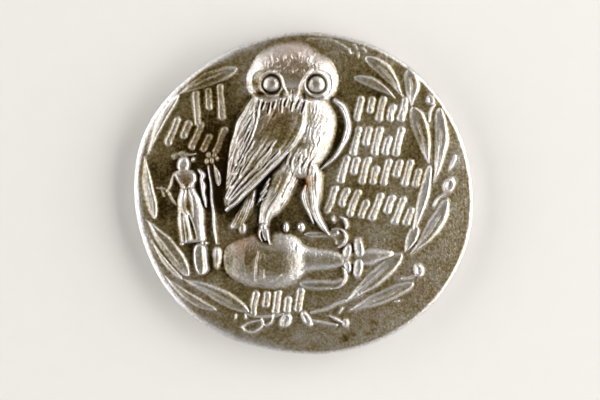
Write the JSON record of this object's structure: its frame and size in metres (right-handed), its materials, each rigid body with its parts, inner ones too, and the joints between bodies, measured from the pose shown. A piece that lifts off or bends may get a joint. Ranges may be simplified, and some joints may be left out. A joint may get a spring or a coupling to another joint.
{
  "type": "tetradrachm coin",
  "caption": "Thick hand-struck silver coin with an uneven rim: an owl on a lying amphora in an olive wreath on one face, a helmeted head in a ring on the other.",
  "frame": {"origin": "middle of the coin's box at its underside, which is the flat worn on the obverse's high points", "axes": "+Z out of the reverse, the face with the owl, which lies up; +Y towards the top of the owl's head; +X to the right as the reverse is read"},
  "size_m": [0.0308, 0.0293, 0.0037],
  "materials": {
    "worn_silver": "struck silver, worn bright on its high points and toned grey-brown in its hollows"
  },
  "bodies": {
    "root": {"coin": "worn_silver"}
  },
  "joints": []
}
